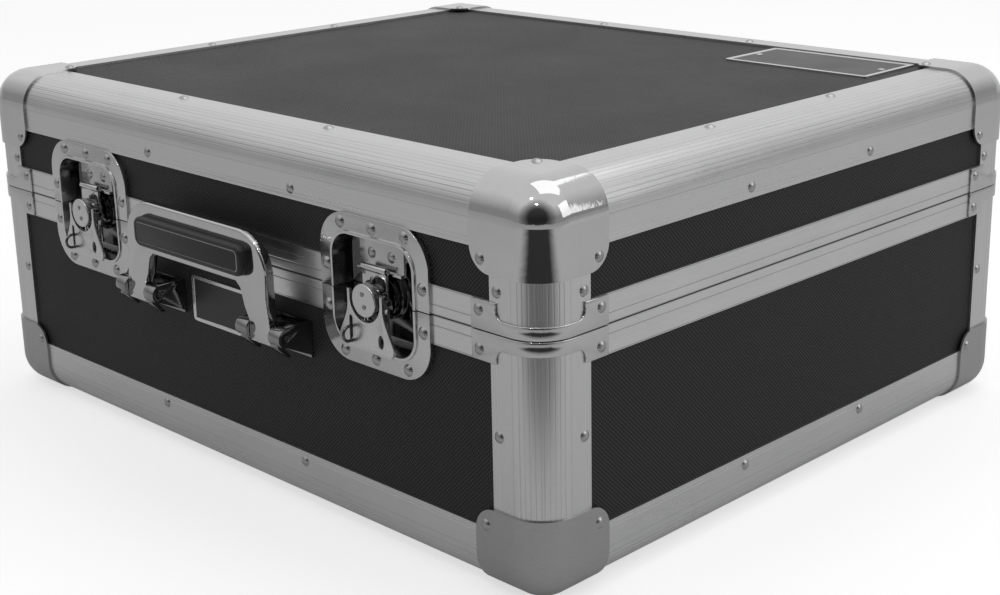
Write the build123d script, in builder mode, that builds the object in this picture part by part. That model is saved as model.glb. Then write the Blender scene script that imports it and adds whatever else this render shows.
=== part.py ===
from build123d import *
import os

# Flight case for a turntable, closed. Millimetres, +Z up, front with the latches toward -Y.
# Heights below are measured from the underside of the edge extrusions and depths from the middle
# of the case body; every piece is raised by the thickness of the ball corners that the case stands
# on and moved back by centre_shift when it is saved, so that the origin lies under its middle.

# Case
case_width = 530.0
case_depth = 456.0
case_height = 225.0
lid_height = 79.0
seam_gap = 0.6
half_width = case_width / 2
half_depth = case_depth / 2
seam_height = case_height - lid_height
lid_bottom = seam_height + seam_gap / 2
base_top = seam_height - seam_gap / 2

# Panels and aluminium extrusions
panel_thickness = 7.0
skin = 1.6
fit = 0.05
flange = 36.0
edge_radius = 21.0
inner_leg = 30.0
leg_thickness = 1.4
stop_wall = 1.4
panel_outer = skin + fit
panel_inner = panel_outer + panel_thickness
leg_start = panel_inner + fit
leg_end = leg_start + leg_thickness
panel_start = edge_radius + 0.2
bar_end = flange + 0.3

# Seam profile
seam_width = 16.2
seam_web = 5.6
tongue_width = 2.2
tongue_height = 2.8
groove_width = 5.0
groove_depth = 3.4

# Ball corners and seam braces
corner_size = 48.5
corner_skin = 1.4
corner_lobe_radius = 14.0
brace_size = 48.5
brace_skin = 1.2
brace_height = 16.0
lid_strap = 7.2
base_strap = 8.0
brace_ear_start = 31.0
brace_fillet = 5.0

# Rivets
rivet_radius = 3.3
rivet_height = 1.5
flange_rivet_edge = 29.7
flange_rivet_x = 71.0
flange_rivet_y = 59.0
post_rivet_edge = 31.0
lid_post_rivet_z = seam_height + 22.0
base_post_rivet_z = seam_height - 56.0
corner_rivet_edge = 41.0
brace_rivet_edge = 43.0
brace_rivet_rise = 10.5

# Foam and the space for the turntable
foam_clear = 0.4
foam_edge = leg_end + foam_clear
recess_width = 460.0
recess_depth = 360.0
recess_radius = 8.0
recess_floor = 40.0
recess_ceiling = case_height - 21.0
foam_pocket_clear = 2.0

# Latches
latch_x = 141.5
latch_z = seam_height + 1.5
latch_width = 88.0
latch_height = 85.0
latch_corner = 22.0
latch_skin = 1.6
opening_width = 65.0
opening_height = 62.0
opening_corner = 13.0
dish_wall = 1.2
dish_depth = 12.0
bead_width = 1.8
bead_height = 1.3
cut_clear = 0.4
latch_rivet_radius = 3.6
latch_rivet_height = 1.8
keeper_width = 36.0
keeper_bottom = seam_height + 12.9
keeper_top = seam_height + 30.0
keeper_rivet_z = keeper_bottom + 9.6
keeper_rivet_x = 8.0
keeper_front = 5.1
keeper_skin = 1.6
lip_height = 1.6
lip_reach = 2.5
drum_radius = 12.3
drum_back = 0.3
drum_length = 6.6
neck_radius = 7.0
neck_front = 5.0
cross_half = 12.3
cross_height = 7.0
cross_depth = 3.4
disc_radius = 9.4
disc_front = 9.4
wing_front = 8.4
wing_skin = 1.8
wing_notch = cross_half + 0.15
ear_radius = 2.2
wing_pin_radius = 1.5
pin_clear = 0.06
ear_skin = 1.7
housing_skin = 1.6
collar_wall = 1.6
collar_height = 5.0
hook_half = 9.9
hook_skin = 1.6
hook_face = 0.9
hook_roll = 2.1
hook_roll_z = keeper_bottom + 3.1
hook_travel = 8.0
slot_clear = 0.3
ring_radius = 4.2
ring_wire = 0.9

# Handle
handle_pin_y = 17.3
handle_pin_z = seam_height - 33.0
handle_half = 70.1
handle_top = handle_pin_z + 58.2
handle_corner = 25.0
handle_skin = 6.0
handle_front = 20.3
foot_half = 9.7
foot_drop = 6.2
leg_x = 62.5
window_half = 54.0
window_bottom = handle_pin_z + 31.2
window_top = handle_pin_z + 50.0
bar_bottom = handle_pin_z + 27.0
grip_proud = 5.2
grip_back = 2.4
grip_fit = 0.15
handle_pin_radius = 1.9
barrel_radius = 5.6
barrel_gap = 0.5
bracket_half = 20.4
bracket_skin = 1.8
bracket_top = handle_pin_z + 6.0
bracket_bottom = handle_pin_z - 15.5
tongue_drop = 13.0
plate_skin = 2.0

# Hinges
hinge_x = 130.0
hinge_half = 30.0
hinge_axis_y = half_depth + 5.0
knuckle_radius = 4.6
knuckle_gap = 0.25
hinge_leaf = 2.2
hinge_leaf_height = 30.0
hinge_pin_radius = 1.8

# Blank name plates
plate_thickness = 1.0
front_plate_width = 68.0
front_plate_height = 29.4
front_plate_z = handle_pin_z - 4.0
top_plate_width = 114.0
top_plate_depth = 60.0
top_plate_x = half_width - flange - 15.0 - top_plate_width / 2
top_plate_y = half_depth - flange - 1.5 - top_plate_depth / 2

# The handle's grip reaches furthest forward and the hinge knuckles furthest back.
centre_shift = (half_depth + handle_front + grip_proud - hinge_axis_y - knuckle_radius) / 2


def save(part, name):
    part = part.moved(Location((0, centre_shift, corner_skin)))
    part.label = name
    export_step(part, f"parts/{name}.step")


def block(x0, x1, y0, y1, z0, z1, mode=Mode.ADD):
    with Locations(((x0 + x1) / 2, (y0 + y1) / 2, (z0 + z1) / 2)):
        Box(abs(x1 - x0), abs(y1 - y0), abs(z1 - z0), mode=mode)


def rod(axis, centre, radius, length, mode=Mode.ADD):
    """Cylinder about the axis through centre, length / 2 to each side."""
    with Locations(Plane(origin=centre, z_dir=axis)):
        Cylinder(radius, length, mode=mode)


def group(parts):
    with BuildPart() as many:
        for piece in parts:
            add(piece)
    return many.part


# Double-angle edge extrusion. Its section starts at the outer corner and runs inward both ways:
# a rounded outer skin, an angle behind the panels and two stop walls for the panel edges.
def edge_section():
    r = edge_radius
    bend = r * (1 - 0.5**0.5)
    inner_bend = r - (r - skin) * 0.5**0.5
    with BuildSketch() as section:
        with BuildLine():
            Line((0, flange), (0, r))
            ThreePointArc((0, r), (bend, bend), (r, 0))
            Polyline((r, 0), (flange, 0), (flange, skin), (r, skin))
            ThreePointArc((r, skin), (inner_bend, inner_bend), (skin, r))
            Polyline((skin, r), (skin, flange), (0, flange))
        make_face()
        with Locations((leg_start, leg_start)):
            Rectangle(inner_leg - leg_start, leg_thickness, align=(Align.MIN, Align.MIN))
            Rectangle(leg_thickness, inner_leg - leg_start, align=(Align.MIN, Align.MIN))
        with Locations((r - stop_wall, skin - 0.1)):
            Rectangle(stop_wall, leg_start - skin + 0.2, align=(Align.MIN, Align.MIN))
        with Locations((skin - 0.1, r - stop_wall)):
            Rectangle(leg_start - skin + 0.2, stop_wall, align=(Align.MIN, Align.MIN))
    return section.sketch


def bar_along(section, middle, u, v, length):
    """Section extruded about middle, its first direction along u and its second along v."""
    axis = Vector(u).cross(Vector(v))
    with BuildPart() as bar:
        with BuildSketch(Plane(origin=middle, x_dir=u, z_dir=axis)):
            add(section)
        extrude(amount=length / 2, both=True)
    return bar.part


def lengthwise_edge(side, z, up):
    middle = (0, side * half_depth, z)
    return bar_along(edge_section(), middle, (0, -side, 0), (0, 0, up), case_width - 2 * bar_end)


def crosswise_edge(side, z, up):
    middle = (side * half_width, 0, z)
    return bar_along(edge_section(), middle, (-side, 0, 0), (0, 0, up), case_depth - 2 * bar_end)


def corner_posts(z0, z1):
    posts = []
    for sx in (-1, 1):
        for sy in (-1, 1):
            middle = (sx * half_width, sy * half_depth, (z0 + z1) / 2)
            posts.append(bar_along(edge_section(), middle, (-sx, 0, 0), (0, -sy, 0), z1 - z0))
    return group(posts)


# Seam profile: a channel over the panel edge, with a tongue on the lid and a groove in the base.
def seam_section(up):
    """Runs inward from the outer face; the seam is at height 0 and the panel on the up side."""
    toward = Align.MIN if up > 0 else Align.MAX
    with BuildSketch() as section:
        Rectangle(skin, seam_width, align=(Align.MIN, toward))
        Rectangle(leg_end, seam_web, align=(Align.MIN, toward))
        with Locations((leg_start, 0)):
            Rectangle(leg_thickness, seam_width, align=(Align.MIN, toward))
        if up > 0:
            with Locations((leg_end / 2, 0.5)):
                Rectangle(tongue_width, tongue_height + 0.5, align=(Align.CENTER, Align.MAX))
        else:
            with Locations((leg_end / 2, 0)):
                Rectangle(groove_width, 2 * groove_depth, mode=Mode.SUBTRACT)
    return section.sketch


def seam_profiles(z, up):
    across = case_width - 2 * flange - 0.2
    along = case_depth - 2 * flange - 0.2
    reach = opening_width / 2 + dish_wall + cut_clear
    with BuildPart() as profiles:
        for side in (-1, 1):
            add(bar_along(seam_section(up), (0, side * half_depth, z), (0, -side, 0), (0, 0, 1), across))
            add(bar_along(seam_section(up), (side * half_width, 0, z), (-side, 0, 0), (0, 0, 1), along))
        for sx in (-1, 1):
            block(sx * latch_x - reach, sx * latch_x + reach, -half_depth - 1, -half_depth + 14,
                  seam_height - 20, seam_height + 20, Mode.SUBTRACT)
    return profiles.part


# Plywood panels
def front_or_back_panel(side, z0, z1):
    """The front, at side -1, is cut out for the two latch dishes."""
    reach = half_width - panel_start
    wide = opening_width / 2 + dish_wall + cut_clear
    tall = opening_height / 2 + dish_wall + cut_clear
    near = side * (half_depth - panel_outer)
    far = side * (half_depth - panel_inner)
    with BuildPart() as panel:
        block(-reach, reach, near, far, z0, z1)
        if side < 0:
            for sx in (-1, 1):
                block(sx * latch_x - wide, sx * latch_x + wide, near - 1, far + 1,
                      latch_z - tall, latch_z + tall, Mode.SUBTRACT)
    return panel.part


def side_panel(side, z0, z1):
    reach = half_depth - panel_start
    with BuildPart() as panel:
        block(side * (half_width - panel_outer), side * (half_width - panel_inner), -reach, reach, z0, z1)
    return panel.part


def flat_panel(z0):
    wide = half_width - panel_start
    deep = half_depth - panel_start
    with BuildPart() as panel:
        block(-wide, wide, -deep, deep, z0, z0 + panel_thickness)
    return panel.part


# Ball corner: a pressed shell over three faces, with one round-cornered lobe on each.
def edges_at(solid, value):
    """Edges of a cube lying where two coordinates have the value."""
    found = []
    for edge in solid.edges():
        middle = tuple(edge.center())
        if sum(abs(c - value) < 0.01 for c in middle) == 2:
            found.append(edge)
    return found


def ball_corner():
    """At the origin, with the case toward +X, +Y and +Z."""
    with BuildPart() as hollow:
        block(-fit, 90, -fit, 90, -fit, 90)
        fillet(edges_at(hollow, -fit), edge_radius + fit)
    with BuildPart() as corner:
        block(-corner_skin, corner_size, -corner_skin, corner_size, -corner_skin, corner_size)
        fillet(edges_at(corner, -corner_skin), edge_radius + corner_skin)
        add(hollow.part, mode=Mode.SUBTRACT)
        for plane in (Plane.XY, Plane.YZ, Plane.ZX):
            with BuildSketch(plane):
                with Locations((corner_size, corner_size)):
                    Rectangle(2 * corner_lobe_radius, 2 * corner_lobe_radius)
                with Locations((corner_size - corner_lobe_radius, corner_size - corner_lobe_radius)):
                    Circle(corner_lobe_radius, mode=Mode.SUBTRACT)
            extrude(amount=3, both=True, mode=Mode.SUBTRACT)
    return corner.part


def at_corner(piece, sx, sy, z):
    if sx > 0:
        piece = piece.mirror(Plane.YZ)
    if sy > 0:
        piece = piece.mirror(Plane.XZ)
    return piece.moved(Location((sx * half_width, sy * half_depth, z)))


def four_corners(piece, z):
    return group([at_corner(piece, sx, sy, z) for sx in (-1, 1) for sy in (-1, 1)])


# Seam brace: a strap round the post beside the seam, with a riveted ear on each face.
def seam_brace(strap):
    """At the origin with the seam at height 0 and the ears upward."""
    with BuildPart() as brace:
        with BuildSketch():
            corner_block(-brace_skin, brace_size, edge_radius + brace_skin)
            corner_block(-fit, 90, edge_radius + fit, Mode.SUBTRACT)
        extrude(amount=brace_height)
        for plane in (Plane.XZ, Plane.YZ):
            with BuildSketch(plane):
                with Locations((brace_ear_start, strap)):
                    Rectangle(60, 30, align=(Align.MAX, Align.MIN))
            extrude(amount=10, both=True, mode=Mode.SUBTRACT)
        corner = [e for e in brace.edges() if abs(e.center().Z - strap) < 0.01 and e.length < 2]
        inner = [e for e in corner if max(e.center().X, e.center().Y) < brace_ear_start + 0.01]
        fillet(inner, brace_fillet)
    return brace.part


def corner_block(low, high, radius, mode=Mode.ADD):
    with BuildSketch(mode=Mode.PRIVATE) as square:
        with Locations((low, low)):
            Rectangle(high - low, high - low, align=(Align.MIN, Align.MIN))
        fillet(square.vertices().sort_by(lambda v: v.X + v.Y)[0], radius)
    add(square.sketch, mode=mode)


# Rivets: a domed head on the surface at each point.
def dome(radius, height):
    ball = (radius**2 + height**2) / (2 * height)
    with BuildPart() as head:
        with Locations((0, 0, height - ball)):
            Sphere(ball)
        block(-ball, ball, -ball, ball, -2 * ball, 0, Mode.SUBTRACT)
    return head.part


def rivets(points, radius=rivet_radius, height=rivet_height):
    head = dome(radius, height)
    placed = [head.moved(Plane(origin=point, z_dir=normal).location) for point, normal in points]
    return group(placed)


def on_walls(from_side, z, proud):
    """One rivet near each vertical edge of the four walls."""
    points = []
    for sx in (-1, 1):
        for sy in (-1, 1):
            points.append(((sx * (half_width - from_side), sy * (half_depth + proud), z), (0, sy, 0)))
            points.append(((sx * (half_width + proud), sy * (half_depth - from_side), z), (sx, 0, 0)))
    return points


def along_edges(z):
    points = []
    for side in (-1, 1):
        for sign in (-1, 1):
            points.append(((sign * flange_rivet_x, side * half_depth, z), (0, side, 0)))
            points.append(((side * half_width, sign * flange_rivet_y, z), (side, 0, 0)))
    return points


def on_top():
    points = []
    for side in (-1, 1):
        for sign in (-1, 1):
            edge_y = side * (half_depth - flange_rivet_edge)
            edge_x = side * (half_width - flange_rivet_edge)
            corner_x = side * (half_width - corner_rivet_edge)
            corner_y = sign * (half_depth - corner_rivet_edge)
            points.append(((sign * flange_rivet_x, edge_y, case_height), (0, 0, 1)))
            points.append(((edge_x, sign * flange_rivet_y, case_height), (0, 0, 1)))
            points.append(((corner_x, corner_y, case_height + corner_skin), (0, 0, 1)))
    return points


# Foam
def foam_block(z0, z1, recess_z0, recess_z1):
    wide = half_width - foam_edge
    deep = half_depth - foam_edge
    pocket = opening_width / 2 + dish_wall + foam_pocket_clear
    pocket_tall = opening_height / 2 + dish_wall + foam_pocket_clear
    pocket_end = -half_depth + dish_depth + dish_wall + foam_pocket_clear
    with BuildPart() as foam:
        block(-wide, wide, -deep, deep, z0, z1)
        with BuildSketch(Plane.XY.offset(recess_z0)):
            RectangleRounded(recess_width, recess_depth, recess_radius)
        extrude(amount=recess_z1 - recess_z0, mode=Mode.SUBTRACT)
        for sx in (-1, 1):
            block(sx * latch_x - pocket, sx * latch_x + pocket, -half_depth, pocket_end,
                  latch_z - pocket_tall, latch_z + pocket_tall, Mode.SUBTRACT)
    return foam.part


# Latches. Depths are measured out from the front face of the extrusions.
def front(depth):
    return -half_depth - depth


def latch_half(x, upper):
    """Flange, raised bead and pressed dish, cut off at the seam."""
    z0 = lid_bottom if upper else latch_z - 60
    z1 = latch_z + 60 if upper else base_top
    seam_low = seam_height - seam_width - 0.6
    seam_high = seam_height + seam_width + 0.6
    outer_w = opening_width + 2 * dish_wall
    outer_h = opening_height + 2 * dish_wall
    with BuildPart() as dish:
        with BuildSketch(Plane(origin=(x, front(0), latch_z), x_dir=(1, 0, 0), z_dir=(0, -1, 0))):
            RectangleRounded(latch_width, latch_height, latch_corner)
        extrude(amount=latch_skin)
        with BuildSketch(Plane(origin=(x, front(0), latch_z), x_dir=(1, 0, 0), z_dir=(0, -1, 0))):
            RectangleRounded(latch_width, latch_height, latch_corner)
            with Locations((0, (seam_low + seam_high) / 2 - latch_z)):
                Rectangle(2 * latch_width, seam_high - seam_low, mode=Mode.SUBTRACT)
            with Locations((0, case_height - flange - 0.1 - latch_z)):
                Rectangle(2 * latch_width, 20, align=(Align.CENTER, Align.MIN), mode=Mode.SUBTRACT)
        extrude(amount=-skin + fit)
        with BuildSketch(Plane(origin=(x, front(latch_skin), latch_z), x_dir=(1, 0, 0), z_dir=(0, -1, 0))):
            RectangleRounded(opening_width + 2 * bead_width, opening_height + 2 * bead_width,
                             opening_corner + bead_width)
        extrude(amount=bead_height)
        with BuildSketch(Plane(origin=(x, front(0), latch_z), x_dir=(1, 0, 0), z_dir=(0, -1, 0))):
            RectangleRounded(outer_w, outer_h, opening_corner + dish_wall)
        extrude(amount=-dish_depth - dish_wall)
        with BuildSketch(Plane(origin=(x, front(latch_skin + bead_height), latch_z), x_dir=(1, 0, 0),
                               z_dir=(0, -1, 0))):
            RectangleRounded(opening_width, opening_height, opening_corner)
        extrude(amount=-dish_depth - latch_skin - bead_height, mode=Mode.SUBTRACT)
        block(x - 80, x + 80, front(10), front(-30), z1, z1 + 100, Mode.SUBTRACT)
        block(x - 80, x + 80, front(10), front(-30), z0 - 100, z0, Mode.SUBTRACT)
    return dish.part


def latch_rivet_points(x, upper):
    depth = latch_skin
    if upper:
        spots = [(-26, 36.8), (0, 36.8), (26, 36.8), (-38.8, 11), (38.8, 11)]
    else:
        spots = [(-26, -36.8), (0, -36.8), (26, -36.8), (-38.8, -13), (38.8, -13)]
    return [((x + dx, front(depth), latch_z + dz), (0, -1, 0)) for dx, dz in spots]


def keeper(x):
    """Striker plate bridging the upper dish, its lower lip turned out toward the hook."""
    floor = front(-dish_depth)
    face = front(-keeper_front)
    with BuildPart() as plate:
        block(x - keeper_width / 2, x + keeper_width / 2, face, face + keeper_skin, keeper_bottom, keeper_top)
        block(x - keeper_width / 2, x + keeper_width / 2, face, floor, keeper_top - keeper_skin, keeper_top)
        block(x - keeper_width / 2, x + keeper_width / 2, face - lip_reach, face + keeper_skin,
              keeper_bottom, keeper_bottom + lip_height)
        for side in (-1, 1):
            edge = x + side * keeper_width / 2
            block(edge - side * keeper_skin, edge, face, floor, keeper_bottom + 8, keeper_top)
    return plate.part


def latch_housing(x):
    """Plate on the lower dish floor with the collar that the drum turns in."""
    floor = front(-dish_depth)
    turn = (0, -1, 0)
    with BuildPart() as housing:
        with BuildSketch(Plane(origin=(x, floor, seam_height), x_dir=(1, 0, 0), z_dir=turn)):
            Circle(drum_radius + 6)
            with Locations((0, -14)):
                Rectangle(44, 22)
        extrude(amount=housing_skin)
        with BuildSketch(Plane(origin=(x, floor - housing_skin, seam_height), x_dir=(1, 0, 0), z_dir=turn)):
            Circle(drum_radius + drum_back + collar_wall)
            Circle(drum_radius + drum_back, mode=Mode.SUBTRACT)
        extrude(amount=collar_height - housing_skin)
    return housing.part


def latch_drum(x):
    """Drum, neck and the cross bar whose two ends carry the wing."""
    back = front(-dish_depth) - housing_skin - drum_back
    with BuildPart() as drum:
        rod((0, -1, 0), (x, back - drum_length / 2, seam_height), drum_radius, drum_length)
        neck_length = -front(neck_front) + back - drum_length
        rod((0, -1, 0), (x, back - drum_length - neck_length / 2, seam_height), neck_radius, neck_length)
        block(x - cross_half, x + cross_half, front(neck_front), front(neck_front - cross_depth),
              seam_height - cross_height / 2, seam_height + cross_height / 2)
        rod((1, 0, 0), (x, front(neck_front - cross_depth / 2), seam_height), wing_pin_radius,
            2 * (cross_half + ear_skin + pin_clear * 4))
    return drum.part


def latch_disc(x):
    """Round cap over the cross bar, with two rivet heads on its face."""
    with BuildPart() as disc:
        length = disc_front - neck_front
        rod((0, 1, 0), (x, front(neck_front + length / 2), seam_height), disc_radius, length)
        rim = [e for e in disc.edges() if abs(e.center().Y - front(disc_front)) < 0.01]
        fillet(rim, 0.8)
    return disc.part


def wing_section():
    """Bell outline of the wing, seen from the front about the middle of the drum."""
    with BuildSketch() as bell:
        with BuildLine():
            Polyline((-14.2, 4.5), (14.2, 4.5), (14.2, -4))
            Spline((14.2, -4), (17.5, -14), (22.2, -23), tangents=((0.1, -1), (0.5, -1)))
            Spline((22.2, -23), (20.5, -28.5), (14, -29.2), tangents=((0.1, -1), (-1, 0.15)))
            Line((14, -29.2), (-14, -29.2))
            Spline((-14, -29.2), (-20.5, -28.5), (-22.2, -23), tangents=((-1, -0.15), (-0.1, 1)))
            Spline((-22.2, -23), (-17.5, -14), (-14.2, -4), tangents=((0.5, 1), (0.1, 1)))
            Line((-14.2, -4), (-14.2, 4.5))
        make_face()
        Circle(wing_notch, mode=Mode.SUBTRACT)
        Rectangle(2 * wing_notch, 20, align=(Align.CENTER, Align.MIN), mode=Mode.SUBTRACT)
        with Locations((12.4, -21)):
            Ellipse(2.3, 3.9, mode=Mode.SUBTRACT)
        with Locations((-12, -18.4)):
            SlotOverall(16, 2.8, rotation=90, mode=Mode.SUBTRACT)
    return bell.sketch


def latch_wing(x):
    """Folding thumb plate with two side ears on the ends of the drum's pin."""
    pin_y = front(neck_front - cross_depth / 2)
    ear_in = cross_half + pin_clear
    with BuildPart() as wing:
        with BuildSketch(Plane(origin=(x, front(wing_front), seam_height), x_dir=(1, 0, 0), z_dir=(0, -1, 0))):
            add(wing_section())
        extrude(amount=-wing_skin)
        for side in (-1, 1):
            block(x + side * ear_in, x + side * (ear_in + ear_skin), front(wing_front), pin_y,
                  seam_height - ear_radius, seam_height + ear_radius)
            rod((1, 0, 0), (x + side * (ear_in + ear_skin / 2), pin_y, seam_height), ear_radius, ear_skin)
        rod((1, 0, 0), (x, pin_y, seam_height), wing_pin_radius + pin_clear, 60, Mode.SUBTRACT)
    return wing.part


def padlock_ring(x):
    with BuildPart() as ring:
        with Locations(Location((x - 12, front(wing_front + ring_radius - 2.6), seam_height - 21), (0, 90, 0))):
            Torus(ring_radius, ring_wire)
    return ring.part


def latch_hook(x):
    """Flat hook round the neck of the drum, rolled at its upper edge in front of the keeper's lip."""
    face = front(hook_face)
    low = seam_height - hook_travel - neck_radius - slot_clear
    with BuildPart() as hook:
        block(x - hook_half, x + hook_half, face, face + hook_skin, low - 4, hook_roll_z)
        rod((1, 0, 0), (x, face + hook_skin / 2 + 0.2, hook_roll_z), hook_roll, 2 * hook_half)
        with BuildSketch(Plane(origin=(x, face - 1, seam_height - hook_travel / 2), x_dir=(1, 0, 0),
                               z_dir=(0, -1, 0))):
            SlotOverall(2 * (neck_radius + slot_clear) + hook_travel, 2 * (neck_radius + slot_clear), rotation=90)
        extrude(amount=-2 - hook_skin, mode=Mode.SUBTRACT)
    return hook.part


# Handle. The frame lies flat against the air, its feet on pins between pairs of barrels.
def handle_outline():
    """Frame seen from the front, heights from the underside of the case."""
    with BuildSketch() as frame:
        with BuildLine():
            r = handle_corner
            turn = r * (1 - 0.5**0.5)
            foot_out = leg_x + foot_half
            foot_in = leg_x - foot_half
            foot_low = handle_pin_z - foot_drop
            for s in (-1, 1):
                Line((0, handle_top), (s * (handle_half - r), handle_top))
                ThreePointArc((s * (handle_half - r), handle_top), (s * (handle_half - turn), handle_top - turn),
                              (s * handle_half, handle_top - r))
                Polyline((s * handle_half, handle_top - r), (s * handle_half, handle_pin_z + 15),
                         (s * foot_out, handle_pin_z), (s * foot_out, foot_low), (s * foot_in, foot_low),
                         (s * foot_in, handle_pin_z + 6), (s * (foot_in - 3.6), handle_pin_z + 13),
                         (s * (foot_in - 6.8), bar_bottom - 3.5), (s * (foot_in - 10.8), bar_bottom), (0, bar_bottom))
        make_face()
        with Locations((0, (window_bottom + window_top) / 2)):
            RectangleRounded(2 * window_half, window_top - window_bottom, 6, mode=Mode.SUBTRACT)
    return frame.sketch


def handle_frame():
    pin_y = front(handle_pin_y)
    with BuildPart() as frame:
        with BuildSketch(Plane(origin=(0, front(handle_front), 0), x_dir=(1, 0, 0), z_dir=(0, -1, 0))):
            add(handle_outline())
        extrude(amount=-handle_skin)
        outer = [e for e in frame.edges() if handle_edge(e)]
        fillet(outer, 1.6)
        for side in (-1, 1):
            rod((1, 0, 0), (side * leg_x, pin_y, handle_pin_z), handle_pin_radius + pin_clear, 40, Mode.SUBTRACT)
    return frame.part


def handle_edge(edge):
    """The outer rim of the frame's front, above its feet."""
    middle = edge.center()
    on_rim = middle.Z > handle_top - 1 or abs(middle.X) > handle_half - 9
    on_front = abs(middle.Y - front(handle_front)) < 0.01
    return on_front and on_rim and edge.bounding_box().min.Z > handle_pin_z + 9


def handle_grip():
    """Moulded pad filling the window of the frame and standing out of it on both sides."""
    with BuildPart() as grip:
        with BuildSketch(Plane(origin=(0, front(handle_front + grip_proud), (window_bottom + window_top) / 2),
                               x_dir=(1, 0, 0), z_dir=(0, -1, 0))):
            RectangleRounded(2 * (window_half - grip_fit), window_top - window_bottom - 2 * grip_fit, 5.8)
        extrude(amount=-handle_skin - grip_proud - grip_back)
        ends = [e for e in grip.edges() if abs(e.center().Y - front(handle_front + grip_proud)) < 0.01]
        fillet(ends, 3.0)
        backs = [e for e in grip.edges() if abs(e.center().Y - front(handle_front - handle_skin - grip_back)) < 0.01]
        fillet(backs, 1.5)
    return grip.part


def cheek(x):
    """Triangular side plate of a bracket, with x the middle of its thickness."""
    pin_y = front(handle_pin_y)
    with BuildSketch(Plane(origin=(x - bracket_skin / 2, 0, 0), x_dir=(0, 1, 0), z_dir=(1, 0, 0))) as side:
        with BuildLine():
            Polyline((front(0) - 0.3, bracket_top), (pin_y, handle_pin_z + barrel_radius),
                     (pin_y - barrel_radius, handle_pin_z), (pin_y, handle_pin_z - barrel_radius),
                     (front(0) - 0.3, bracket_bottom + 1.5), (front(0) - 0.3, bracket_top))
        make_face()
    extrude(side.sketch, amount=bracket_skin)


def handle_bracket(side):
    """Plate on the front wall, two cheeks, two barrels for the pin and a tongue under each barrel."""
    pin_y = front(handle_pin_y)
    middle = side * leg_x
    back = front(-panel_outer)
    low_y = pin_y + 4.2
    with BuildPart() as bracket:
        block(middle - bracket_half, middle + bracket_half, back - plate_skin, back, bracket_bottom, bracket_top)
        for end in (-1, 1):
            cheek(middle + end * (bracket_half - bracket_skin / 2))
            inner = middle + end * (foot_half + barrel_gap)
            outer = middle + end * bracket_half
            rod((1, 0, 0), ((inner + outer) / 2, pin_y, handle_pin_z), barrel_radius, abs(outer - inner))
            tongue_end = middle + end * (foot_half + barrel_gap + 7)
            with BuildSketch(Plane(origin=(min(inner, tongue_end), 0, 0), x_dir=(0, 1, 0), z_dir=(1, 0, 0))):
                with BuildLine():
                    Polyline((pin_y - 3.5, handle_pin_z - 3), (pin_y - 4.6, handle_pin_z - 5.5),
                             (low_y - 1, handle_pin_z - tongue_drop), (low_y + 0.6, handle_pin_z - tongue_drop + 0.8),
                             (pin_y - 1.6, handle_pin_z - 4.4),
                             (pin_y - 3.5, handle_pin_z - 3))
                make_face()
            extrude(amount=abs(tongue_end - inner))
        rod((1, 0, 0), (middle, pin_y, handle_pin_z), handle_pin_radius + fit, 100, Mode.SUBTRACT)
    return bracket.part


def handle_pins():
    with BuildPart() as pins:
        for side in (-1, 1):
            rod((1, 0, 0), (side * leg_x, front(handle_pin_y), handle_pin_z), handle_pin_radius,
                2 * bracket_half - 0.6)
    return pins.part


# Hinges on the back wall: the base holds the middle knuckle and the pin, the lid the outer two.
def knuckle_span(part_of_base):
    third = 2 * hinge_half / 3
    if part_of_base:
        return [(-third / 2 + knuckle_gap, third / 2 - knuckle_gap)]
    return [(-hinge_half, -third / 2), (third / 2, hinge_half)]


def hinge_leaves(part_of_base):
    up = -1 if part_of_base else 1
    leaf_edge = seam_height + up * (knuckle_radius + 0.7)
    with BuildPart() as leaves:
        for side in (-1, 1):
            middle = side * hinge_x
            block(middle - hinge_half, middle + hinge_half, half_depth, half_depth + hinge_leaf,
                  min(leaf_edge, leaf_edge + up * hinge_leaf_height), max(leaf_edge, leaf_edge + up * hinge_leaf_height))
            for x0, x1 in knuckle_span(part_of_base):
                block(middle + x0, middle + x1, half_depth, half_depth + hinge_leaf,
                      min(seam_height + up * 3, leaf_edge), max(seam_height + up * 3, leaf_edge))
                rod((1, 0, 0), (middle + (x0 + x1) / 2, hinge_axis_y, seam_height), knuckle_radius, x1 - x0)
        for side in (-1, 1):
            rod((1, 0, 0), (side * hinge_x, hinge_axis_y, seam_height), hinge_pin_radius + pin_clear,
                2 * hinge_half + 2, Mode.SUBTRACT)
    return leaves.part


def hinge_pins():
    with BuildPart() as pins:
        for side in (-1, 1):
            rod((1, 0, 0), (side * hinge_x, hinge_axis_y, seam_height), hinge_pin_radius, 2 * hinge_half)
    return pins.part


def name_plate(plane, width, height):
    with BuildPart() as plate:
        with BuildSketch(plane):
            RectangleRounded(width, height, 2.5)
        extrude(amount=plate_thickness)
    return plate.part


os.makedirs("parts", exist_ok=True)

# Base
base_panel_top = base_top - seam_web - 0.1
save(flat_panel(panel_outer), "base_bottom_panel")
save(front_or_back_panel(-1, panel_start, base_panel_top), "base_front_panel")
save(front_or_back_panel(1, panel_start, base_panel_top), "base_back_panel")
save(side_panel(-1, panel_start, base_panel_top), "base_left_panel")
save(side_panel(1, panel_start, base_panel_top), "base_right_panel")
save(lengthwise_edge(-1, 0, 1), "base_front_edge")
save(lengthwise_edge(1, 0, 1), "base_back_edge")
save(crosswise_edge(-1, 0, 1), "base_left_edge")
save(crosswise_edge(1, 0, 1), "base_right_edge")
save(corner_posts(bar_end, base_top), "base_corner_posts")
save(seam_profiles(base_top, -1), "base_seam_profile")
save(four_corners(ball_corner(), 0), "base_ball_corners")
save(four_corners(seam_brace(base_strap).mirror(Plane.XY), base_top), "base_seam_braces")
base_rivets = on_walls(post_rivet_edge, base_post_rivet_z, 0)
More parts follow.
